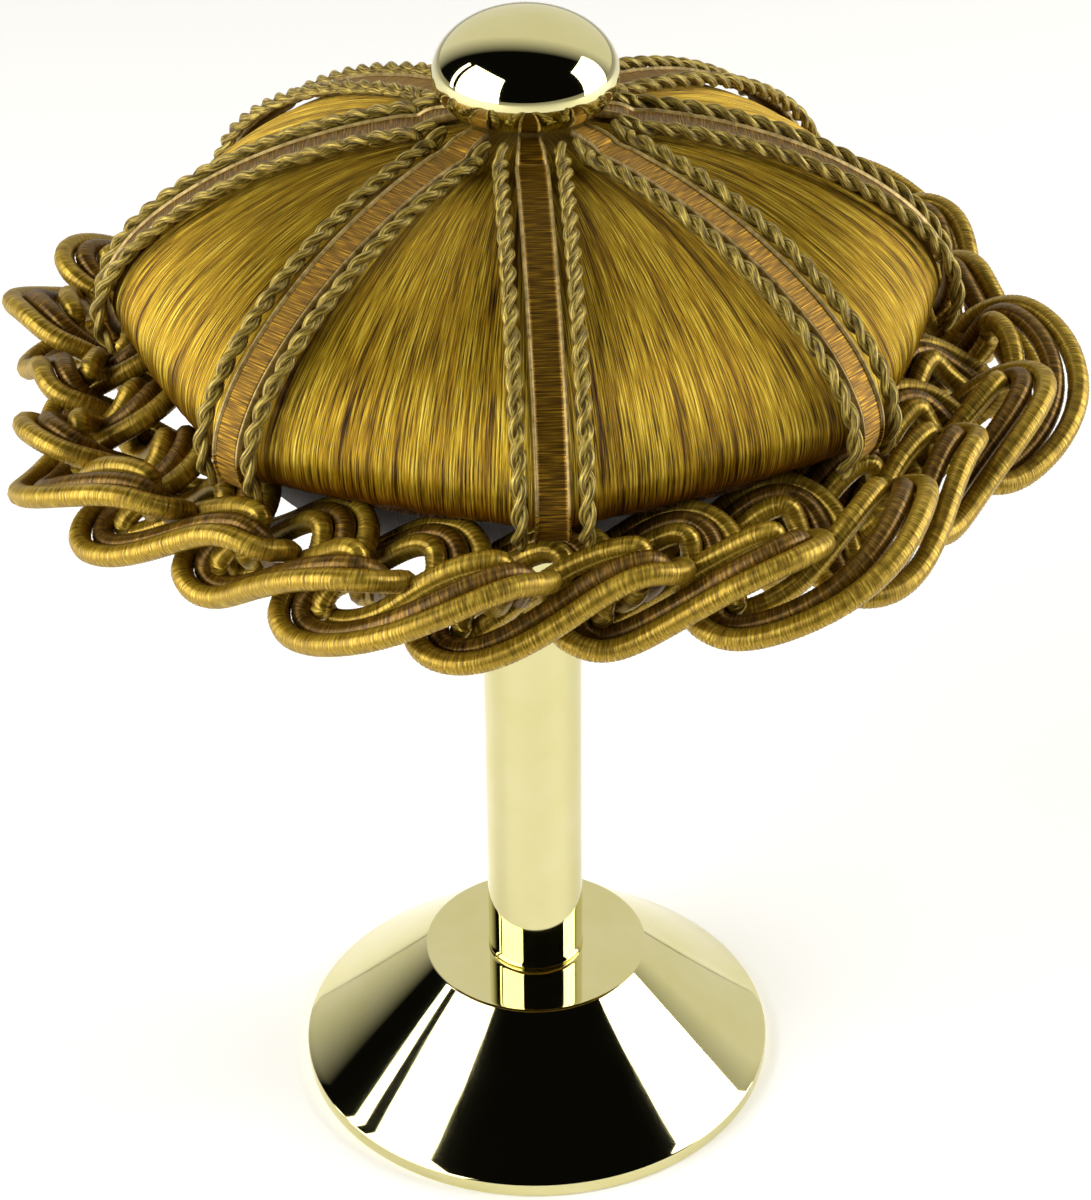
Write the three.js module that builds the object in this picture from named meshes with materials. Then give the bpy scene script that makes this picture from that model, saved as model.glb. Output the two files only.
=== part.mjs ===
import * as THREE from "three";

// Curtain holdback hook: a polished brass foot, stem and button with a padded
// rosette of wound silk floss, ribs of ribbon and rope, and a plaited cord border.
// Millimetres, +Z up. The foot's face lies on z = 0, with the stem on the Z axis.

// Clearance between neighbouring pieces, and the lift of the ribs' trims off the faceted floss
const gap = 0.3;
const trimLift = 0.5;

// Foot: a low cone with a thin upright rim and a flat table
const footRadius = 25;
const footRimHeight = 1.8;
const footRimRound = 0.5;
const tableRadius = 11.9;
const tableHeight = 13.6;
const tableRound = 0.6;
const footFacets = 48;

// Stem and button
const stemRadius = 5;
const buttonRadius = 8.5;
const buttonFlatRadius = 4.6;
const buttonEdgeRadius = 3.2;
const buttonDomeHeight = 5.7;
const stemFacets = 32;

// Rosette
const rosetteLip = 87.8;
const rosetteUnderside = 79.2;
const ribAngles = [-87, -41.5, 2.5, 47, 92, 137, 182, 229.5];
const sideFlattening = 0.72;
const panelSwell = 0.9;
const swellFadeRadius = 12;
const facetsPerPanel = 8;
const flossRows = 15;

// Meridian of the wound floss along a rib, from the centre out, down and under
const flossLine = [
  { r: 4.0, z: 109.3 },
  { r: 6.4, z: 109.1 },
  { r: 8.3, z: 108.8 },
  { r: 9.6, z: 108.1 },
  { r: 12.0, z: 107.9 },
  { r: 17.0, z: 106.9 },
  { r: 22.5, z: 105.2 },
  { r: 27.5, z: 103.0 },
  { r: 32.0, z: 100.3 },
  { r: 35.6, z: 97.3 },
  { r: 37.9, z: 94.2 },
  { r: 38.7, z: 91.8 },
  { r: 38.4, z: 89.9 },
  { r: 37.4, z: 88.6 },
  { r: 35.6, z: rosetteLip },
];

// The same winding goes on inside the border, down the drawn-in neck of the padding
const neckLine = [
  { r: 31.0, z: 87.2 },
  { r: 29.2, z: 85.6 },
  { r: 28.9, z: 81.4 },
  { r: 27.6, z: rosetteUnderside },
];

// Where ribbons and ropes end under the edge, as a share of the floss's meridian
const ribEnd = 0.945;

// Ribbon on each rib
const ribbonWidth = 3.1;
const ribbonNeckWidth = 2.1;
const ribbonThickness = 1.0;
const ribbonInnerRadius = 6.0;
const ribbonKinkRadius = 10;
const ribbonSteps = 13;

// Two-ply rope on both sides of each ribbon
const ropeDiameter = 1.6;
const ropeToRibbon = 0.5;
const ropeInnerRadius = 8.9;
const ropeSteps = 12;
const ropeTurnPerStep = Math.PI / 4;

// Plaited border of three strands, each of three gimp cords side by side
const borderHeight = 83.6;
const borderMiddleRadius = 41.5;
const borderDish = 0.08;
const lobes = 8;
const lobeAngle = -57;
const unevenness = 4;
const widestLobeAngle = -80;

// Between two lobes the border is drawn in, from the inner radius out, most at the outer
const scallopDepth = 5;
const scallopInner = 36;
const scallopOuter = 50;

const gimpDiameter = 1.55;
const gimpPitch = 1.68;
const gimpValley = 0.5;
const stepsPerLobe = 22;

// One row for each strand: the middle radius of its wave, the wave's reach, how far its
// lobes swell past their necks, its rise and fall over its neighbours with a steepening
// of that, and the angle by which it trails the first
const strands = [
  {
    name: "strand-large",
    radius: 42,
    reach: 7.6,
    swell: 1.55,
    rise: 3.7,
    steep: -0.4,
    trail: 0,
  },
  {
    name: "strand-low",
    radius: 41.6,
    reach: 7.2,
    swell: 1.4,
    rise: 3.45,
    steep: -0.45,
    trail: 15,
  },
  {
    name: "strand-middle",
    radius: 41.7,
    reach: 7.1,
    swell: 1.4,
    rise: 3.45,
    steep: -0.45,
    trail: 30,
  },
];

const degrees = Math.PI / 180;
const fullTurn = 360;

const finishes = {
  brass: { color: 0xcfc489, roughness: 0.08, metalness: 1 },
  floss: { color: 0x9c7f1c, roughness: 0.45, metalness: 0 },
  ribbon: { color: 0x7c5a1f, roughness: 0.5, metalness: 0 },
  rope: { color: 0x8f7c3e, roughness: 0.7, metalness: 0 },
  gimp: { color: 0x85701f, roughness: 0.5, metalness: 0 },
};

function piece(name, geometry, finish) {
  const mesh = new THREE.Mesh(geometry, new THREE.MeshStandardMaterial(finishes[finish]));
  mesh.name = name;
  return mesh;
}

// A turned piece: the profile runs in (r, z) from the axis below to the axis above
function turned(profile, segments) {
  const points = profile.map(({ r, z }) => new THREE.Vector2(r, z));
  const geometry = new THREE.LatheGeometry(points, segments);
  geometry.rotateX(Math.PI / 2);
  return geometry;
}

// Points of an arc in (r, z), angles in degrees, both ends included
function arc(centreR, centreZ, radiusR, radiusZ, from, to, steps) {
  return Array.from({ length: steps + 1 }, (_, i) => {
    const angle = (from + ((to - from) * i) / steps) * degrees;
    return { r: centreR + radiusR * Math.cos(angle), z: centreZ + radiusZ * Math.sin(angle) };
  });
}

// Joins rings of equally many points into a skin. The ends are capped, or the last ring
// joins the first where the skin is closed.
function skin(rings, closed) {
  const count = rings[0].length;
  const positions = rings.flat().flatMap((p) => [p.x, p.y, p.z]);
  const index = [];
  const spans = closed ? rings.length : rings.length - 1;
  for (let i = 0; i < spans; i += 1) {
    const here = i * count;
    const next = ((i + 1) % rings.length) * count;
    for (let j = 0; j < count; j += 1) {
      const k = (j + 1) % count;
      index.push(here + j, here + k, next + k);
      index.push(here + j, next + k, next + j);
    }
  }
  if (!closed) {
    const last = (rings.length - 1) * count;
    for (let j = 1; j < count - 1; j += 1) {
      index.push(0, j + 1, j);
      index.push(last, last + j, last + j + 1);
    }
  }
  const geometry = new THREE.BufferGeometry();
  geometry.setAttribute("position", new THREE.Float32BufferAttribute(positions, 3));
  geometry.setIndex(index);
  geometry.computeVertexNormals();
  return geometry;
}

// Foot, stem and button

function footGeometry() {
  const rim = footRadius - footRimRound;
  const tableRim = tableRadius - tableRound;
  return turned(
    [
      { r: 0, z: 0 },
      { r: rim, z: 0 },
      { r: footRadius, z: footRimRound },
      { r: footRadius, z: footRimHeight - footRimRound },
      { r: rim, z: footRimHeight },
      { r: tableRadius, z: tableHeight - tableRound },
      { r: tableRim, z: tableHeight },
      { r: 0, z: tableHeight },
    ],
    footFacets,
  );
}

function stemGeometry() {
  const length = rosetteUnderside - tableHeight - 2 * gap;
  const geometry = new THREE.CylinderGeometry(stemRadius, stemRadius, length, stemFacets);
  geometry.rotateX(Math.PI / 2);
  return geometry;
}

function buttonGeometry(seat) {
  const middle = seat + buttonEdgeRadius;
  const edgeCentre = buttonRadius - buttonEdgeRadius;
  return turned(
    [
      { r: 0, z: seat },
      { r: buttonFlatRadius, z: seat },
      ...arc(edgeCentre, middle, buttonEdgeRadius, buttonEdgeRadius, -80, 0, 4),
      ...arc(0, middle, buttonRadius, buttonDomeHeight, 15, 90, 5).slice(0, -1),
      { r: 0, z: middle + buttonDomeHeight },
    ],
    stemFacets,
  );
}

// Rosette

const flossCurve = new THREE.CatmullRomCurve3(
  flossLine.map(({ r, z }) => new THREE.Vector3(r, 0, z)),
  false,
  "centripetal",
);

// A point on the floss along a rib and the way out of it, t from 0 at the centre to 1 below
function onFloss(t) {
  const point = flossCurve.getPointAt(t);
  const along = flossCurve.getTangentAt(t);
  return { r: point.x, z: point.z, outR: -along.z, outZ: along.x };
}

// The way along the floss where a rib reaches a radius on its upper side
function wayAtRadius(radius) {
  const halvings = 30;
  let low = 0;
  let high = 0.8;
  for (let i = 0; i < halvings; i += 1) {
    const middle = (low + high) / 2;
    if (flossCurve.getPointAt(middle).x < radius) low = middle;
    else high = middle;
  }
  return low;
}

function nextRib(i) {
  return i + 1 < ribAngles.length ? ribAngles[i + 1] : ribAngles[0] + fullTurn;
}

// Outline of the rosette seen from above: 1 on the ribs and drawn in between them, with the
// share of the way between the two ribs
function panelAt(angle) {
  for (let i = 0; i < ribAngles.length; i += 1) {
    const from = ribAngles[i];
    const to = nextRib(i);
    const local = THREE.MathUtils.euclideanModulo(angle - from, fullTurn);
    if (local < to - from) {
      const half = ((to - from) / 2) * degrees;
      const chord = Math.cos(half) / Math.cos(half - local * degrees);
      const share = local / (to - from);
      return { plan: 1 + (chord - 1) * sideFlattening, share };
    }
  }
  throw new Error("the ribs go all the way round");
}

function rosetteGeometry() {
  const angles = ribAngles.flatMap((from, i) =>
    Array.from({ length: facetsPerPanel }, (_, k) => from + ((nextRib(i) - from) * k) / facetsPerPanel),
  );
  const upper = Array.from({ length: flossRows + 1 }, (_, row) => onFloss(row / flossRows));
  const lower = neckLine.map(({ r, z }) => ({ r, z, outR: 1, outZ: 0, round: true }));
  const rings = [...upper, ...lower].map(({ r, z, outR, outZ, round }) => {
    const fade = THREE.MathUtils.smoothstep(r, swellFadeRadius / 2, swellFadeRadius * 2);
    const ring = angles.map((angle) => {
      const { plan, share } = panelAt(angle);
      const swell = panelSwell * Math.sin(Math.PI * share) * fade * Math.max(0, outZ);
      const radius = round ? r : (r + outR * swell) * (1 + (plan - 1) * fade);
      const a = angle * degrees;
      return new THREE.Vector3(radius * Math.cos(a), radius * Math.sin(a), z + outZ * swell);
    });
    return ring.reverse();
  });
  return skin(rings, false);
}

// A point beside a rib: `side` across it, `lift` above the floss
function besideRib(angle, t, side, lift) {
  const { r, z, outR, outZ } = onFloss(t);
  const radius = r + outR * lift;
  const a = angle * degrees;
  return new THREE.Vector3(
    radius * Math.cos(a) - side * Math.sin(a),
    radius * Math.sin(a) + side * Math.cos(a),
    z + outZ * lift,
  );
}

// Half the ribbon's width, narrower where it is gathered under the button
function ribbonHalf(r) {
  const widen = THREE.MathUtils.smoothstep(r, ribbonInnerRadius, ribbonKinkRadius);
  return (ribbonNeckWidth + (ribbonWidth - ribbonNeckWidth) * widen) / 2;
}

function ribbonGeometry(angle) {
  const start = wayAtRadius(ribbonInnerRadius);
  const rings = [];
  for (let i = 0; i <= ribbonSteps; i += 1) {
    const t = start + ((ribEnd - start) * i) / ribbonSteps;
    const half = ribbonHalf(onFloss(t).r);
    rings.push([
      besideRib(angle, t, -half, trimLift),
      besideRib(angle, t, half, trimLift),
      besideRib(angle, t, half, trimLift + ribbonThickness),
      besideRib(angle, t, -half, trimLift + ribbonThickness),
    ]);
  }
  return skin(rings, false);
}

function ropeGeometry(angle, hand) {
  const start = wayAtRadius(ropeInnerRadius);
  const radius = ropeDiameter / 2;
  const rings = [];
  for (let i = 0; i <= ropeSteps; i += 1) {
    const t = start + ((ribEnd - start) * i) / ropeSteps;
    const side = hand * (ribbonHalf(onFloss(t).r) + ropeToRibbon + radius);
    const ring = [];
    for (let k = 0; k < 4; k += 1) {
      const around = (k * Math.PI) / 2 + i * ropeTurnPerStep;
      const across = radius * Math.cos(around);
      const up = radius * Math.sin(around);
      ring.push(besideRib(angle, t, side + across, trimLift + radius + up));
    }
    rings.push(ring);
  }
  return skin(rings, false);
}

// Plaited border

// Centre of a strand, u in radians along its waves, one lobe to each turn of u
function onStrand(strand, u) {
  const pitch = fullTurn / lobes;
  const waved = (u - (strand.swell / 2) * Math.sin(2 * u)) / (2 * Math.PI);
  const even = lobeAngle + strand.trail + pitch * (1 / 4 - waved);
  const uneven = even + unevenness * Math.sin((even - widestLobeAngle) * degrees);
  const wide = strand.radius + strand.reach * Math.sin(u);
  const outward = Math.max(0, (wide - scallopInner) / (scallopOuter - scallopInner));
  const between = (1 - Math.cos(lobes * (even - lobeAngle) * degrees)) / 2;
  const radius = wide - scallopDepth * outward ** 2 * between;
  const height = strand.rise * Math.sin(2 * u) + strand.steep * Math.sin(4 * u);
  return new THREE.Vector3(
    radius * Math.cos(uneven * degrees),
    radius * Math.sin(uneven * degrees),
    borderHeight + borderDish * (radius - borderMiddleRadius) + height,
  );
}

// A strand's section: ridged over the three cords, flat below
function strandSection() {
  const half = gimpDiameter / 2;
  const over = [
    { across: gimpPitch, up: half },
    { across: gimpPitch / 2, up: gimpValley },
    { across: 0, up: half },
    { across: -gimpPitch / 2, up: gimpValley },
    { across: -gimpPitch, up: half },
  ];
  const under = [
    { across: -gimpPitch, up: -half },
    { across: gimpPitch, up: -half },
  ];
  return [
    { across: gimpPitch + half, up: 0 },
    ...over,
    { across: -gimpPitch - half, up: 0 },
    ...under,
  ];
}

function strandGeometry(strand) {
  const section = strandSection();
  const upward = new THREE.Vector3(0, 0, 1);
  const ahead = 0.01;
  const steps = lobes * stepsPerLobe;
  const rings = Array.from({ length: steps }, (_, i) => {
    const u = (2 * Math.PI * i) / stepsPerLobe;
    const centre = onStrand(strand, u);
    const along = onStrand(strand, u + ahead).sub(onStrand(strand, u - ahead)).normalize();
    const across = new THREE.Vector3().crossVectors(upward, along).normalize();
    const up = new THREE.Vector3().crossVectors(along, across);
    return section.map((p) =>
      centre.clone().addScaledVector(across, p.across).addScaledVector(up, p.up),
    );
  });
  return skin(rings, true);
}

const hook = new THREE.Group();

hook.add(piece("foot", footGeometry(), "brass"));

const stem = piece("stem", stemGeometry(), "brass");
stem.position.z = (tableHeight + rosetteUnderside) / 2;
hook.add(stem);

hook.add(piece("rosette", rosetteGeometry(), "floss"));

ribAngles.forEach((angle, i) => {
  hook.add(piece(`ribbon-${i + 1}`, ribbonGeometry(angle), "ribbon"));
  hook.add(piece(`rope-${i + 1}-left`, ropeGeometry(angle, -1), "rope"));
  hook.add(piece(`rope-${i + 1}-right`, ropeGeometry(angle, 1), "rope"));
});

const neckTop = besideRib(0, wayAtRadius(ribbonInnerRadius), 0, trimLift + ribbonThickness).z;
hook.add(piece("button", buttonGeometry(neckTop + gap), "brass"));

for (const strand of strands) {
  hook.add(piece(strand.name, strandGeometry(strand), "gimp"));
}

export default hook;
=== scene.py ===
import math

import bmesh
import bpy
from mathutils import Matrix, Vector, noise


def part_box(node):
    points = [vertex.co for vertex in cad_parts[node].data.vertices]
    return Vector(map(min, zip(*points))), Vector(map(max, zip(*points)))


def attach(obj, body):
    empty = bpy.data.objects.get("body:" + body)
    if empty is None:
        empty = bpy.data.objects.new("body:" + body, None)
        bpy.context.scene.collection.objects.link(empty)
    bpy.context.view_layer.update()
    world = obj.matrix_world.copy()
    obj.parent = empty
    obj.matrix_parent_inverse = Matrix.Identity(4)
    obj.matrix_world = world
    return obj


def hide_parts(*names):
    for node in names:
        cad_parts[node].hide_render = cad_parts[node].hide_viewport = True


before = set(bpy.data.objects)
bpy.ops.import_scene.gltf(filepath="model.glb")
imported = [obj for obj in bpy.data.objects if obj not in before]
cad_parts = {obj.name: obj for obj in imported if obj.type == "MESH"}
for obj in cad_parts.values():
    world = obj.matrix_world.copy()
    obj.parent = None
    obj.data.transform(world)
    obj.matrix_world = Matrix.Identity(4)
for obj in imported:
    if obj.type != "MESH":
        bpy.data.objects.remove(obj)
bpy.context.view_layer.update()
print("frame loaded")

# Curtain holdback hook: brass foot, stem and button, a cushion wound with silk floss, ribs of
# ribbon and rope, and a border plaited from nine gimp cords. Its sizes are given in mm and
# turned into metres where a piece is made.

mm = 0.001
fullTurn = 2 * math.pi
upwards = Vector((0, 0, 1))


def hexToLinear(code):
    values = [int(code[i:i + 2], 16) / 255 for i in (1, 3, 5)]
    linear = [v / 12.92 if v <= 0.04045 else ((v + 0.055) / 1.055) ** 2.4 for v in values]
    return (*linear, 1.0)


def addNode(owner, kind, settings=None, links=None):
    # settings: property or input name -> value, links: input name -> socket
    node = owner.node_tree.nodes.new(kind)
    for name, value in (settings or {}).items():
        if name in node.inputs:
            node.inputs[name].default_value = value
        else:
            setattr(node, name, value)
    for name, socket in (links or {}).items():
        owner.node_tree.links.new(socket, node.inputs[name])
    return node


def newMaterial(name):
    material = bpy.data.materials.new(name)
    material.use_nodes = True
    return material, material.node_tree.nodes["Principled BSDF"]


def setRamp(node, stops):
    ramp = node.color_ramp
    while len(ramp.elements) > len(stops):
        ramp.elements.remove(ramp.elements[-1])
    while len(ramp.elements) < len(stops):
        ramp.elements.new(0.5)
    for element, (place, code) in zip(ramp.elements, stops):
        element.position = place
        element.color = hexToLinear(code)


def newPiece(name, bm, material, node):
    mesh = bpy.data.meshes.new(name)
    bm.to_mesh(mesh)
    bm.free()
    obj = bpy.data.objects.new(name, mesh)
    bpy.context.scene.collection.objects.link(obj)
    obj.data.materials.append(material)
    for polygon in mesh.polygons:
        polygon.use_smooth = True
    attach(obj, "root")
    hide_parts(node)
    return obj


def makeTube(columns, rows, placeAt, uvAt, closedRing):
    # A grid laid by placeAt(column, row), joined across its columns, and along its rows in a ring
    bm = bmesh.new()
    bmesh.ops.create_grid(bm, x_segments=columns, y_segments=rows, size=1)
    uv = bm.loops.layers.uv.new("threads")
    spots = {}
    for vertex in bm.verts:
        column = round((vertex.co.x + 1) / 2 * columns)
        row = round((vertex.co.y + 1) / 2 * rows)
        spots[vertex] = (column, row)
    for face in bm.faces:
        for loop in face.loops:
            loop[uv].uv = uvAt(*spots[loop.vert])
    for vertex, spot in spots.items():
        vertex.co = placeAt(*spot)
    bmesh.ops.remove_doubles(bm, verts=bm.verts, dist=0.002 * mm)
    if not closedRing:
        bmesh.ops.holes_fill(bm, edges=[e for e in bm.edges if e.is_boundary], sides=0)
    bmesh.ops.recalc_face_normals(bm, faces=bm.faces)
    return bm


def runLengths(points):
    # The length of the way from the first point to each one
    lengths = [0.0]
    for a, b in zip(points, points[1:]):
        lengths.append(lengths[-1] + (b - a).length)
    return lengths


def smoothStep(x, low, high):
    t = min(1.0, max(0.0, (x - low) / (high - low)))
    return t * t * (3 - 2 * t)


# Camera

camera = {
    "target": (1.363 * mm, 0, 57.155 * mm),
    "distance": 308.86 * mm,
    "pitch": math.radians(33.224),
    "roll": math.radians(0.507),
    "lens": 93.0,
    "sensor": 36.0,
    "nearest": 10 * mm,
}


def makeCamera():
    pitch = camera["pitch"]
    forward = Vector((0, math.cos(pitch), -math.sin(pitch)))
    up = Vector((0, math.sin(pitch), math.cos(pitch)))
    right = Vector((1, 0, 0))
    cosRoll, sinRoll = math.cos(camera["roll"]), math.sin(camera["roll"])
    localX = right * cosRoll - up * sinRoll
    localY = right * sinRoll + up * cosRoll
    data = bpy.data.cameras.new("camera")
    data.lens = camera["lens"]
    data.sensor_width = camera["sensor"]
    data.clip_start = camera["nearest"]
    obj = bpy.data.objects.new("camera", data)
    turn = Matrix((localX, localY, -forward)).transposed().to_4x4()
    place = Vector(camera["target"]) - forward * camera["distance"]
    obj.matrix_world = Matrix.Translation(place) @ turn
    bpy.context.scene.collection.objects.link(obj)
    bpy.context.scene.camera = obj


makeCamera()
print("camera placed")

# Room, in metres: a pale floor with a faint glow, a pale wall light behind, two tall softboxes
# and a thin strip at the left

room = {
    "floorSize": 8.0,
    "floorColour": "#fbfaf7",
    "floorRoughness": 0.9,
    "floorGlow": 0.14,
    "wallColour": "#f1efe6",
    "darkColour": "#0b0b0a",
    "wallAzimuth": math.radians(82),
    "wallElevation": math.radians(20),
    "wallStart": 0.42,
    "wallFull": 0.72,
    "softboxes": [
        {
            "name": "softboxLeft", "azimuth": 209, "distance": 0.62, "width": 0.70,
            "low": 0.02, "high": 0.82, "watts": 8.5,
        },
        {
            "name": "softboxRight", "azimuth": 2, "distance": 0.62, "width": 0.43,
            "low": 0.02, "high": 0.68, "watts": 5.5,
        },
        {
            "name": "stripLeft", "azimuth": 172, "distance": 0.70, "width": 0.06,
            "low": 0.05, "high": 0.70, "watts": 0.6,
        },
    ],
}


def makeFloor():
    material, shader = newMaterial("mattFloor")
    shader.inputs["Base Color"].default_value = hexToLinear(room["floorColour"])
    shader.inputs["Roughness"].default_value = room["floorRoughness"]
    shader.inputs["Emission Color"].default_value = hexToLinear(room["floorColour"])
    shader.inputs["Emission Strength"].default_value = room["floorGlow"]
    bm = bmesh.new()
    bmesh.ops.create_grid(bm, x_segments=1, y_segments=1, size=room["floorSize"] / 2)
    mesh = bpy.data.meshes.new("floor")
    bm.to_mesh(mesh)
    bm.free()
    obj = bpy.data.objects.new("floor", mesh)
    obj.data.materials.append(material)
    bpy.context.scene.collection.objects.link(obj)


def makeWorld():
    # Dark all round, and pale towards the middle of the wall
    world = bpy.data.worlds.new("studio")
    bpy.context.scene.world = world
    world.use_nodes = True
    azimuth, elevation = room["wallAzimuth"], room["wallElevation"]
    level = math.cos(elevation)
    direction = addNode(world, "ShaderNodeTexCoord").outputs["Generated"]
    towards = addNode(world, "ShaderNodeVectorMath", {"operation": "DOT_PRODUCT"}, {0: direction})
    middle = (level * math.cos(azimuth), level * math.sin(azimuth), math.sin(elevation))
    towards.inputs[1].default_value = middle
    wall = addNode(world, "ShaderNodeValToRGB", {}, {"Fac": towards.outputs["Value"]})
    setRamp(wall, [(room["wallStart"], room["darkColour"]), (room["wallFull"], room["wallColour"])])
    background = world.node_tree.nodes["Background"]
    world.node_tree.links.new(wall.outputs["Color"], background.inputs["Color"])
    background.inputs["Strength"].default_value = 1.0


def makeSoftbox(box):
    data = bpy.data.lights.new(box["name"], "AREA")
    data.shape = "RECTANGLE"
    data.size = box["width"]
    data.size_y = box["high"] - box["low"]
    data.energy = box["watts"]
    azimuth = math.radians(box["azimuth"])
    out = Vector((math.cos(azimuth), math.sin(azimuth), 0))
    middle = out * box["distance"] + upwards * ((box["high"] + box["low"]) / 2)
    side = Vector((-out.y, out.x, 0))
    turn = Matrix((side, upwards, out)).transposed().to_4x4()
    obj = bpy.data.objects.new(box["name"], data)
    obj.matrix_world = Matrix.Translation(middle) @ turn
    obj.visible_camera = False
    bpy.context.scene.collection.objects.link(obj)


makeFloor()
makeWorld()
for box in room["softboxes"]:
    makeSoftbox(box)
bpy.context.scene.view_settings.view_transform = "Standard"
print("room made")

# Finishes

# The last two are where the floss's painted shade begins and where it is full, in mm along the floss
finish = {
    "flossThreads": 1400,
    "wrapPitch": 0.42,
    "paintedShadeFrom": 40.5,
    "paintedShadeTo": 49.0,
}


def makeBrass():
    # Polished and lacquered brass: a clear mirror with faint hazy wipe marks
    material, shader = newMaterial("polishedBrass")
    place = addNode(material, "ShaderNodeTexCoord").outputs["Object"]
    haze = addNode(material, "ShaderNodeTexNoise", {"Scale": 180.0, "Detail": 4.0}, {"Vector": place})
    amount = haze.outputs["Fac"]
    rough = addNode(material, "ShaderNodeMapRange", {"To Min": 0.025, "To Max": 0.06}, {"Value": amount})
    tint = addNode(material, "ShaderNodeValToRGB", {}, {"Fac": amount})
    setRamp(tint, [(0.3, "#d6cf94"), (0.7, "#dcd4a2")])
    material.node_tree.links.new(tint.outputs["Color"], shader.inputs["Base Color"])
    material.node_tree.links.new(rough.outputs["Result"], shader.inputs["Roughness"])
    shader.inputs["Metallic"].default_value = 1.0
    return material


def silk(name, stretch, stops, bump, settings):
    # Threads as a noise drawn out along them: its colour, its shine across and its relief.
    # stretch: noise to a unit of the UV map, bump: strength and height in mm
    material, shader = newMaterial(name)
    uv = addNode(material, "ShaderNodeUVMap", {"uv_map": "threads"}).outputs["UV"]
    drawnOut = addNode(material, "ShaderNodeMapping", {"Scale": (*stretch, 1.0)}, {"Vector": uv})
    grain = {"Scale": 1.0, "Detail": 3.0, "Roughness": 0.65}
    threads = addNode(material, "ShaderNodeTexNoise", grain, {"Vector": drawnOut.outputs["Vector"]})
    colour = addNode(material, "ShaderNodeValToRGB", {}, {"Fac": threads.outputs["Fac"]})
    setRamp(colour, stops)
    height = {"Strength": bump[0], "Distance": bump[1] * mm}
    relief = addNode(material, "ShaderNodeBump", height, {"Height": threads.outputs["Fac"]})
    tangent = addNode(material, "ShaderNodeTangent", {"direction_type": "UV_MAP", "uv_map": "threads"})
    material.node_tree.links.new(colour.outputs["Color"], shader.inputs["Base Color"])
    material.node_tree.links.new(relief.outputs["Normal"], shader.inputs["Normal"])
    material.node_tree.links.new(tangent.outputs["Tangent"], shader.inputs["Tangent"])
    for socket, value in settings.items():
        shader.inputs[socket].default_value = value
    return material, shader, colour, uv


def makeFloss():
    # Silk floss: fine threads that glow across their length, with painted shade in the partings
    # between the locks, and painted shade that darkens it down the side, under the lip and over the neck
    material, shader, colour, uv = silk(
        "silkFloss",
        (1.0, 0.16),
        [(0.34, "#2e2008"), (0.44, "#8c6f10"), (0.54, "#d0ab22"), (0.68, "#ffe869")],
        (1.0, 0.22),
        {"Roughness": 0.52, "Metallic": 0.6, "Anisotropic": 1.0},
    )
    # Painted shade in the partings between the locks: dark streaks along the threads, laid over the floss's
    # uneven tone
    drawnOut = addNode(material, "ShaderNodeMapping", {"Scale": (0.13, 0.035, 1.0)}, {"Vector": uv})
    grain = {"Scale": 1.0, "Detail": 4.0, "Roughness": 0.7}
    locks = addNode(material, "ShaderNodeTexNoise", grain, {"Vector": drawnOut.outputs["Vector"]})
    partingShade = addNode(material, "ShaderNodeValToRGB", {}, {"Fac": locks.outputs["Fac"]})
    setRamp(partingShade, [(0.34, "#6b5212"), (0.45, "#e3d59a"), (0.58, "#ffffff")])
    # Painted shade: the floss is darkened from part way down its side, through the tucked edge under the
    # lip, to the neck
    split = addNode(material, "ShaderNodeSeparateXYZ", {}, {"Vector": uv})
    downTheSide = {"From Min": finish["paintedShadeFrom"], "From Max": finish["paintedShadeTo"]}
    under = addNode(material, "ShaderNodeMapRange", downTheSide, {"Value": split.outputs["Y"]})
    shade = addNode(material, "ShaderNodeValToRGB", {}, {"Fac": under.outputs["Result"]})
    setRamp(shade, [(0.0, "#ffffff"), (0.3, "#b58f4c"), (1.0, "#2a1c06")])
    # A colour mix has its factor at input 0, its colours at 6 and 7 and its result at output 2
    mixed = colour.outputs["Color"]
    for darker in (partingShade, shade):
        mix = addNode(material, "ShaderNodeMix", {"data_type": "RGBA", "blend_type": "MULTIPLY"})
        mix.inputs[0].default_value = 1.0
        material.node_tree.links.new(mixed, mix.inputs[6])
        material.node_tree.links.new(darker.outputs["Color"], mix.inputs[7])
        mixed = mix.outputs[2]
    material.node_tree.links.new(mixed, shader.inputs["Base Color"])
    return material


def makeRibbonSatin():
    # Satin ribbon woven with its fine ribs across: glows where the ribs face a light
    return silk(
        "satinRibbon",
        (7.0, 0.2),
        [(0.30, "#2a1b04"), (0.50, "#70500c"), (0.70, "#cc9a20")],
        (0.8, 0.10),
        {"Roughness": 0.40, "Metallic": 0.7, "Anisotropic": 1.0},
    )[0]


def makeEdgeHighlight():
    # The ribbon's edge: a smooth raised cord, painted pale on its upward faces as a highlight, lighter than
    # the weave beside it
    return silk(
        "ribbonEdgeHighlight",
        (1.2, 0.2),
        [(0.3, "#77602c"), (0.7, "#c4a968")],
        (0.3, 0.05),
        {"Roughness": 0.45, "Metallic": 0.4, "Anisotropic": 0.4},
    )[0]


def makeRopeYarn():
    # Two-ply rayon cord: a drier, paler beige-gold with fine fibres along each ply
    return silk(
        "twistedRope",
        (14.0, 0.8),
        [(0.32, "#241904"), (0.48, "#7c661c"), (0.66, "#d8c05a")],
        (0.9, 0.14),
        {"Roughness": 0.45, "Metallic": 0.4, "Anisotropic": 0.6, "Sheen Weight": 0.05},
    )[0]


def makeGimp(name, stops):
    # Gimp: satin thread wound tightly round a core, so light beads along each wrap
    return silk(
        name,
        (2.6, 3.0),
        stops,
        (0.6, 0.06),
        {"Roughness": 0.34, "Metallic": 0.55, "Anisotropic": 0.8},
    )[0]


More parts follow.
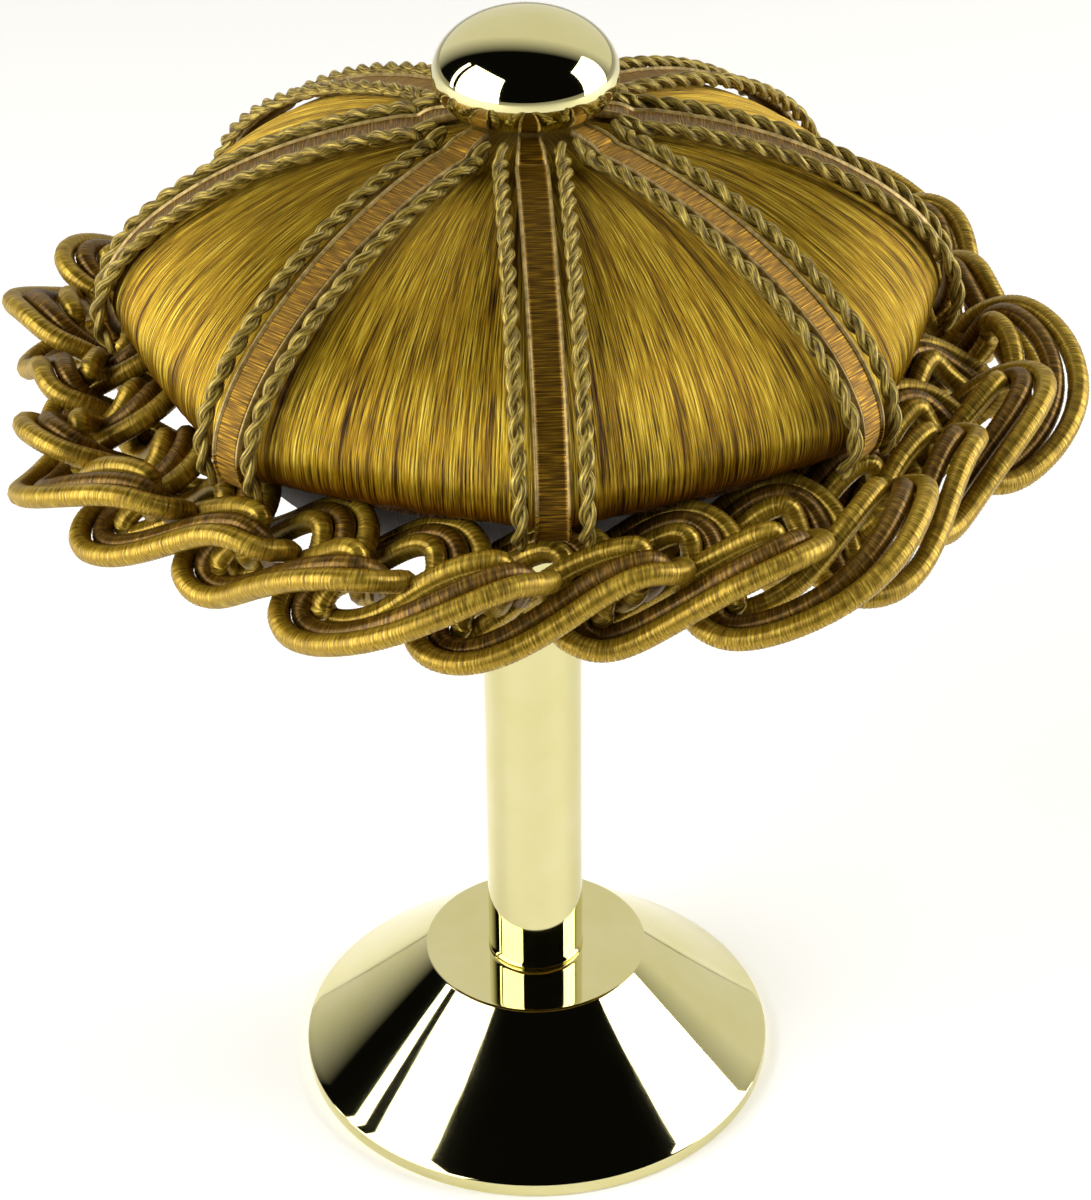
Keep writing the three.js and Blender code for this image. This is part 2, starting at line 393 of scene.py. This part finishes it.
brass = makeBrass()
floss = makeFloss()
ribbonSatin = makeRibbonSatin()
ribbonEdgeHighlight = makeEdgeHighlight()
ropeYarn = makeRopeYarn()
gimpGold = makeGimp("goldGimp", [(0.3, "#53400c"), (0.5, "#9c7d1c"), (0.7, "#d6b743")])
gimpBrown = makeGimp("brownGimp", [(0.3, "#2b1d05"), (0.5, "#66490f"), (0.7, "#a07a22")])
print("finishes made")

# Foot, stem and button, turned

foot = {
    "radius": 25.0,
    "rimHeight": 1.8,
    "rimRound": 0.35,
    "rimShoulder": 0.4,
    "shoulderRise": 0.28,
    "tableRadius": 11.9,
    "tableHeight": 13.6,
    "tableRound": 0.5,
    "tableFlat": 0.3,
    "roundSteps": 6,
    "steps": 192,
}
stem = {
    "radius": 5.0,
    "seatRadius": 5.06,
    "seatHeight": 0.4,
    "seatRound": 0.1,
    "seatDrop": 0.25,
    "endStraight": 0.5,
    "steps": 96,
}
button = {
    "radius": 8.5,
    "dome": 5.8,
    "flat": 4.6,
    "edge": 3.2,
    "sink": 0.45,
    "edgeSteps": 16,
    "domeSteps": 28,
    "steps": 128,
}


def turnedPiece(name, outline, steps, node):
    # outline: (radius, height) in mm from the axis below to the axis above
    bm = bmesh.new()
    chain = [bm.verts.new((r * mm, 0, z * mm)) for r, z in outline]
    edges = [bm.edges.new(pair) for pair in zip(chain, chain[1:])]
    bmesh.ops.spin(
        bm, geom=chain + edges, axis=upwards, cent=(0, 0, 0), angle=fullTurn, steps=steps, use_merge=True
    )
    bmesh.ops.remove_doubles(bm, verts=bm.verts, dist=0.001 * mm)
    bmesh.ops.recalc_face_normals(bm, faces=bm.faces)
    return newPiece(name, bm, brass, node)


def arc(centreR, centreZ, radiusR, radiusZ, start, end, steps):
    angles = [math.radians(start + (end - start) * i / steps) for i in range(steps + 1)]
    return [(centreR + radiusR * math.cos(a), centreZ + radiusZ * math.sin(a)) for a in angles]


def makeFoot():
    rim, rimTop, steps = foot["rimRound"], foot["rimHeight"], foot["roundSteps"]
    radius, table, top = foot["radius"], foot["tableRadius"], foot["tableHeight"]
    edge = foot["tableRound"]
    slope = math.degrees(math.atan2(top - rimTop, radius - table))
    outline = [(0, 0)]
    outline += arc(radius - rim, rim, rim, rim, -90, 0, steps)
    outline += arc(radius - rim, rimTop - rim, rim, rim, 0, 90 - slope, steps)
    outline += [(radius - rim - foot["rimShoulder"], rimTop + foot["shoulderRise"])]
    outline += arc(table - edge, top - edge, edge, edge, 90 - slope, 90, steps)
    outline += [(table - edge - foot["tableFlat"], top), (0, top)]
    turnedPiece("turnedFoot", outline, foot["steps"], "foot")


def makeStem():
    radius, seatRadius = stem["radius"], stem["seatRadius"]
    seatRound, straight = stem["seatRound"], stem["endStraight"]
    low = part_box("stem")[0].z / mm - stem["seatDrop"]
    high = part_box("stem")[1].z / mm
    seat = low + stem["seatHeight"]
    outline = [(0, low), (seatRadius - seatRound, low), (seatRadius, low + seatRound)]
    outline += [(seatRadius, seat - seatRound), (radius, seat), (radius, seat + straight)]
    outline += [(radius, high - straight), (radius, high), (0, high)]
    turnedPiece("turnedStem", outline, stem["steps"], "stem")


def makeButton():
    radius, edge, dome = button["radius"], button["edge"], button["dome"]
    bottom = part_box("button")[0].z / mm - button["sink"]
    middle = bottom + edge
    outline = [(0, bottom), (button["flat"], bottom)]
    outline += arc(radius - edge, middle, edge, edge, -80, 0, button["edgeSteps"])
    outline += arc(0, middle, radius, dome, 4, 90, button["domeSteps"])[:-1]
    outline += [(0, middle + dome)]
    turnedPiece("turnedButton", outline, button["steps"], "button")


makeFoot()
makeStem()
makeButton()
print("metal turned")

# Rosette cushion

cushion = {
    "line": [
        (4.0, 109.3), (6.4, 109.1), (8.3, 108.8), (9.6, 108.1), (12.0, 107.9), (17.0, 106.9), (22.5, 105.2),
        (27.5, 103.0), (32.0, 100.3), (35.6, 97.3), (37.9, 94.2), (38.7, 91.8), (38.4, 89.9), (37.4, 88.6),
        (35.6, 87.8),
    ],
    "neck": [(32.6, 87.2), (31.2, 85.8), (30.0, 82.4), (27.8, 79.2)],
    "lineSpacing": 0.1,
    "neckSpacing": 0.8,
    "ribAngles": [-87, -41.5, 2.5, 47, 92, 137, 182, 229.5],
    "flattening": 0.72,
    "swell": 0.9,
    "fadeFrom": 6,
    "fadeTo": 24,
    "around": 768,
    "along": 96,
    "clump": 0.10,
    "clumpFrom": 4,
    "clumpTo": 12,
    "clumps": [
        {"share": 1.0, "turns": 26, "place": (0, 0), "along": 0.012},
        {"share": 0.6, "turns": 61, "place": (7, 3), "along": 0.02},
    ],
}


def smoothLine(points, spacing):
    # Points about a spacing apart on a smooth curve through the given ones
    placed = [Vector((r, 0, z)) for r, z in points]
    ends = [placed[0] * 2 - placed[1]] + placed + [placed[-1] * 2 - placed[-2]]
    fine = []
    for a, b, c, d in zip(ends, ends[1:], ends[2:], ends[3:]):
        steps = max(2, int((c - b).length / spacing))
        for i in range(steps):
            t = i / steps
            curve = 2 * b + (c - a) * t
            curve = curve + (2 * a - 5 * b + 4 * c - d) * t ** 2 + (3 * b - a - 3 * c + d) * t ** 3
            fine.append(curve / 2)
    fine.append(placed[-1])
    return fine


def evenLine(fine, count):
    # The curve's points again, evenly spaced, each with the way out of the surface
    lengths = runLengths(fine)
    result, at = [], 0
    for i in range(count + 1):
        wanted = lengths[-1] * i / count
        while at < len(fine) - 2 and lengths[at + 1] < wanted:
            at += 1
        share = (wanted - lengths[at]) / (lengths[at + 1] - lengths[at])
        along = (fine[at + 1] - fine[at]).normalized()
        result.append((fine[at].lerp(fine[at + 1], share), Vector((-along.z, 0, along.x))))
    return result, lengths[-1]


def panelAt(angle):
    # How far the outline is drawn in between two ribs, and the share of the way between them
    ribs = cushion["ribAngles"]
    for start, end in zip(ribs, ribs[1:] + [ribs[0] + 360]):
        local, span = (angle - start) % 360, end - start
        if local < span:
            half = math.radians(span / 2)
            chord = math.cos(half) / math.cos(half - math.radians(local))
            return 1 + (chord - 1) * cushion["flattening"], local / span


def clumpAt(turn, row):
    # How far the locks of floss stand proud or sink in, as a share of the clump height
    total = 0
    for clump in cushion["clumps"]:
        place = turn * clump["turns"] + Vector((*clump["place"], row * clump["along"]))
        total += clump["share"] * noise.noise(place)
    return total


def makeCushion(crown):
    # One filled form wound with floss: crown, drawn-in panels, tucked edge and neck
    upper, length = evenLine(crown, cushion["along"])
    neck = smoothLine([cushion["line"][-1]] + cushion["neck"], cushion["neckSpacing"])[1:]
    line = upper + [(point, Vector((1, 0, 0))) for point in neck]
    around, rows = cushion["around"], len(line) - 1
    plans = [panelAt(360 * column / around - 180) for column in range(around)]

    def placeAt(column, row):
        angle = fullTurn * (column % around) / around - math.pi
        plan, share = plans[column % around]
        point, out = line[row]
        turn = Vector((math.cos(angle), math.sin(angle), 0))
        if row > cushion["along"]:
            return (turn * point.x + Vector((0, 0, point.z))) * mm
        fade = smoothStep(point.x, cushion["fadeFrom"], cushion["fadeTo"])
        swell = cushion["swell"] * math.sin(math.pi * share) * fade * max(0.0, out.z)
        clumped = smoothStep(point.x, cushion["clumpFrom"], cushion["clumpTo"])
        swell += cushion["clump"] * clumpAt(turn, row) * clumped
        radius = (point.x + out.x * swell) * (1 + (plan - 1) * fade)
        return (turn * radius + Vector((0, 0, point.z + out.z * swell))) * mm

    def uvAt(column, row):
        return (column / around * finish["flossThreads"], row * length / cushion["along"])

    bm = makeTube(around, rows, placeAt, uvAt, False)
    piece = newPiece("woundCushion", bm, floss, "rosette")


crownLine = smoothLine(cushion["line"], cushion["lineSpacing"])
makeCushion(crownLine)
print("cushion wound")

# Ribbons and ropes on the ribs

rib = {
    "pathRows": 400,
    "end": 0.945,
    "lift": 0.5,
}
ribbon = {
    "width": 3.1,
    "neckWidth": 2.1,
    "thickness": 0.55,
    "edgeWidth": 0.32,
    "edgeRise": 0.24,
    "innerRadius": 6.0,
    "kinkRadius": 10.0,
    "rows": 150,
}
rope = {
    "diameter": 1.45,
    "gap": 0.55,
    "innerRadius": 7.9,
    "pitch": 4.2,
    "plyFullness": 1.08,
    "plyRows": 0.22,
    "plySides": 10,
    "startTurn": 0.9,
    "outwardRise": 0.4,
}

ribPath, ribLength = evenLine(crownLine, rib["pathRows"])


def rowAtRadius(radius):
    return next(i for i, (point, _) in enumerate(ribPath) if point.x >= radius)


def besideRib(angle, row, side, lift):
    # A point beside a rib, in metres, from its distances in mm across the rib and above the floss
    low = min(int(row), len(ribPath) - 2)
    share = row - low
    point = ribPath[low][0].lerp(ribPath[low + 1][0], share)
    out = ribPath[low][1].lerp(ribPath[low + 1][1], share)
    radius = point.x + out.x * lift
    cosAngle, sinAngle = math.cos(math.radians(angle)), math.sin(math.radians(angle))
    x = radius * cosAngle - side * sinAngle
    y = radius * sinAngle + side * cosAngle
    return Vector((x, y, point.z + out.z * lift)) * mm


def ribbonHalf(row):
    # Half the ribbon's width, gathered towards the button
    radius = ribPath[min(int(row), len(ribPath) - 1)][0].x
    widen = smoothStep(radius, ribbon["innerRadius"], ribbon["kinkRadius"])
    return (ribbon["neckWidth"] + (ribbon["width"] - ribbon["neckWidth"]) * widen) / 2


def ribbonSection():
    # Around the ribbon: (share of the half width, height in mm), with a raised cord at both edges
    edge = 2 * ribbon["edgeWidth"] / ribbon["width"]
    thick, rise = ribbon["thickness"], ribbon["edgeRise"]
    top = [(1.0, thick * 0.6), (1.0 - edge * 0.15, thick + rise * 0.8), (1.0 - edge * 0.5, thick + rise)]
    top += [(1.0 - edge * 0.85, thick + rise * 0.8), (1.0 - edge * 1.1, thick), (1.0 - edge * 2, thick)]
    top += [(0.4, thick), (0.2, thick)]
    below = [(0.0, 0.0), (0.9, 0.0), (1.0, 0.1)]
    mirrored = [(-x, z) for x, z in reversed(below[1:] + top)]
    return below + top + [(0.0, thick)] + mirrored


def layRibbon(number, angle):
    section = ribbonSection()
    start, end = rowAtRadius(ribbon["innerRadius"]), rib["end"] * rib["pathRows"]
    rows = ribbon["rows"]

    def placeAt(column, row):
        share, height = section[column % len(section)]
        at = start + (end - start) * row / rows
        return besideRib(angle, at, share * ribbonHalf(at), rib["lift"] + height)

    def uvAt(column, row):
        share, _ = section[column % len(section)]
        return (row / rows * (end - start) / rib["pathRows"] * ribLength, share * ribbon["width"] / 2)

    bm = makeTube(len(section), rows, placeAt, uvAt, False)
    piece = newPiece(f"satinRibbon{number}", bm, ribbonSatin, f"ribbon-{number}")
    piece.data.materials.append(ribbonEdgeHighlight)
    # Painted highlight: the upward faces of the raised edge cords take the pale edge material
    uvs = piece.data.uv_layers["threads"].data
    edgeHighlightFrom = ribbon["width"] / 2 - ribbon["edgeWidth"]
    for polygon in piece.data.polygons:
        across = [abs(uvs[i].uv.y) for i in polygon.loop_indices]
        if sum(across) / len(across) > edgeHighlightFrom and polygon.normal.z > 0:
            polygon.material_index = 1


def makePly(number, angle, hand, plyTurn):
    start, end = rowAtRadius(rope["innerRadius"]), rib["end"] * rib["pathRows"]
    length = (end - start) / rib["pathRows"] * ribLength
    rows = int(length / rope["plyRows"])
    ply = rope["diameter"] / 4
    outward = Vector((math.cos(math.radians(angle)), math.sin(math.radians(angle)), rope["outwardRise"]))

    def centreAt(row):
        at = start + (end - start) * row / rows
        turn = plyTurn + fullTurn * length * row / rows / rope["pitch"] + number * rope["startTurn"]
        across = hand * (ribbonHalf(at) + rope["gap"] + 2 * ply) + ply * math.cos(turn)
        lift = rib["lift"] + 2 * ply + ply * math.sin(turn)
        return besideRib(angle, at, across, lift)

    centres = [centreAt(row) for row in range(rows + 1)]

    def placeAt(column, row):
        along = (centres[min(rows, row + 1)] - centres[max(0, row - 1)]).normalized()
        across = along.cross(outward).normalized()
        turn = fullTurn * column / rope["plySides"]
        spoke = across * math.cos(turn) + along.cross(across) * math.sin(turn)
        return centres[row] + spoke * ply * rope["plyFullness"] * mm

    def uvAt(column, row):
        return (column / rope["plySides"], length * row / rows)

    return makeTube(rope["plySides"], rows, placeAt, uvAt, False)


def layRope(number, angle, hand, side):
    # Two plies half a turn apart, joined into one piece
    whole = bmesh.new()
    for plyTurn in (0, math.pi):
        part = makePly(number, angle, hand, plyTurn)
        spare = bpy.data.meshes.new("ply")
        part.to_mesh(spare)
        part.free()
        whole.from_mesh(spare)
        bpy.data.meshes.remove(spare)
    newPiece(f"twistedRope{number}{side.capitalize()}", whole, ropeYarn, f"rope-{number}-{side}")


for number, angle in enumerate(cushion["ribAngles"], 1):
    layRibbon(number, angle)
    layRope(number, angle, -1, "left")
    layRope(number, angle, 1, "right")
print("ribs laid")

# Plaited border: three strands of three gimp cords

border = {
    "height": 83.6,
    "middleRadius": 41.5,
    "dish": 0.08,
    "lobes": 8,
    "lobeAngle": -57,
    "unevenness": 4,
    "widestLobeAngle": -80,
    "scallopDepth": 6,
    "scallopInner": 36,
    "scallopOuter": 50,
    "frontDraw": 0.045,
    "frontLift": 1.2,
    "cordDiameter": 2.05,
    "spacing": 1.95,
    "outerFan": 0.15,
    "innerFan": 0.9,
    "stepsPerLobe": 90,
    "sides": 10,
    "wrapRelief": 0.045,
    "wrapLean": 0.22,
}
strands = [
    {
        "word": "large", "radius": 42.0, "reach": 7.6, "swell": 1.55,
        "rise": 3.7, "steep": -0.4, "trail": 0,
    },
    {
        "word": "low", "radius": 41.6, "reach": 7.2, "swell": 1.4,
        "rise": 3.45, "steep": -0.45, "trail": 15,
    },
    {
        "word": "middle", "radius": 41.7, "reach": 7.1, "swell": 1.4,
        "rise": 3.45, "steep": -0.45, "trail": 30,
    },
]


def onStrand(strand, u):
    # Centre of a strand in mm, u in radians along its waves, one lobe to each turn of u
    inner, outer = border["scallopInner"], border["scallopOuter"]
    pitch = 360 / border["lobes"]
    waved = (u - strand["swell"] / 2 * math.sin(2 * u)) / fullTurn
    even = border["lobeAngle"] + strand["trail"] + pitch * (0.25 - waved)
    shift = border["unevenness"] * math.sin(math.radians(even - border["widestLobeAngle"]))
    uneven = math.radians(even + shift)
    wide = strand["radius"] + strand["reach"] * math.sin(u)
    outward = max(0.0, (wide - inner) / (outer - inner))
    between = (1 - math.cos(border["lobes"] * math.radians(even - border["lobeAngle"]))) / 2
    radius = wide - border["scallopDepth"] * outward ** 2 * between
    height = strand["rise"] * math.sin(2 * u) + strand["steep"] * math.sin(4 * u)
    height += border["height"] + border["dish"] * (radius - border["middleRadius"])
    drawn = smoothStep(radius, inner, outer) * max(0.0, -math.sin(uneven))
    radius *= 1 - border["frontDraw"] * drawn
    height += border["frontLift"] * drawn
    return Vector((radius * math.cos(uneven), radius * math.sin(uneven), height))


def cordPath(strand, place):
    # One of a strand's cords, place -1 (inner), 0 or 1 (outer); the cords fan out on the lobes
    ahead = 0.01
    count = border["lobes"] * border["stepsPerLobe"]
    path = []
    for i in range(count):
        u = fullTurn * border["lobes"] * i / count
        along = (onStrand(strand, u + ahead) - onStrand(strand, u - ahead)).normalized()
        across = upwards.cross(along).normalized()
        lobe = max(0.0, math.sin(u))
        fan = border["outerFan"] * lobe ** 2 if place > 0 else border["innerFan"] * lobe ** 6
        path.append(onStrand(strand, u) + across * place * border["spacing"] * (1 + fan))
    return path


def wrapRings(path):
    # Two rings for each wrap, evenly spaced round the closed path: centre, along, across and up
    count = len(path)
    lengths = runLengths(path + path[:1])
    rows = 2 * round(lengths[-1] / finish["wrapPitch"])
    centres, at = [], 0
    for row in range(rows):
        wanted = lengths[-1] * row / rows
        while lengths[at + 1] < wanted:
            at += 1
        share = (wanted - lengths[at]) / (lengths[at + 1] - lengths[at])
        centres.append(path[at].lerp(path[(at + 1) % count], share))
    rings = []
    for row in range(rows):
        along = (centres[(row + 2) % rows] - centres[row - 2]).normalized()
        across = upwards.cross(along).normalized()
        rings.append((centres[row], along, across, along.cross(across)))
    return rings


def layCord(strand, place, part, material):
    rings, sides = wrapRings(cordPath(strand, place)), border["sides"]
    circle = [(math.cos(fullTurn * k / sides), math.sin(fullTurn * k / sides)) for k in range(sides)]

    def placeAt(column, row):
        centre, along, across, up = rings[row % len(rings)]
        x, y = circle[column % sides]
        radius = border["cordDiameter"] / 2 - (border["wrapRelief"] if row % 2 else 0)
        return (centre + (across * x + up * y + along * border["wrapLean"] * x) * radius) * mm

    def uvAt(column, row):
        return (row / 2, column / sides)

    bm = makeTube(sides, len(rings), placeAt, uvAt, True)
    newPiece(f"{strand['word']}Strand{part}Cord", bm, material, f"strand-{strand['word']}")


for strand in strands:
    layCord(strand, 1, "Outer", gimpGold)
    layCord(strand, 0, "Middle", gimpBrown)
    layCord(strand, -1, "Inner", gimpGold)
print("border plaited")
